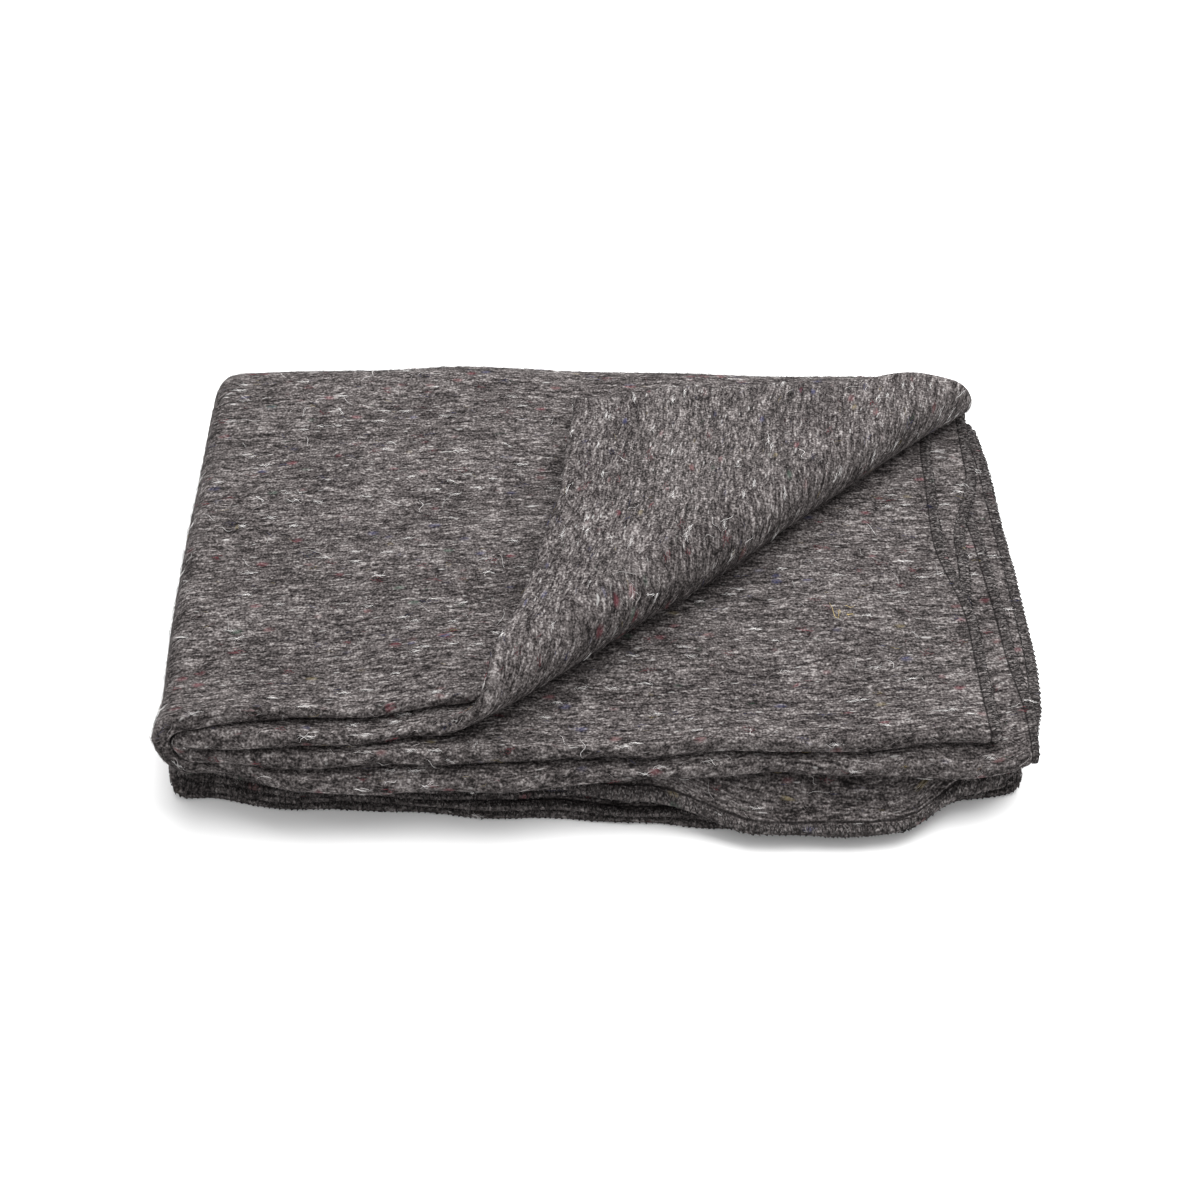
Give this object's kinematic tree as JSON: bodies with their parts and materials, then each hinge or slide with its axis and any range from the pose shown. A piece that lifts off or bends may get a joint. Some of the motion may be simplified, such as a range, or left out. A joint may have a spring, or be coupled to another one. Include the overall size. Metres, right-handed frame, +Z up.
{
  "type": "folded wool blanket",
  "caption": "Grey mottled recycled-wool blanket with overlocked edges, folded into a flat pile with one top corner turned back.",
  "frame": {"origin": "centre of the folded pile's outline, on the flat underside it rests on", "axes": "+Z up, +X along the pile's longer side towards the end with the cut edges, +Y towards the back fold, so the turned-back corner and the front folds face -Y"},
  "size_m": [0.5006, 0.3624, 0.0871],
  "materials": {
    "grey_wool": "napped, matt"
  },
  "bodies": {
    "root": {"blanket": "grey_wool"}
  },
  "joints": []
}
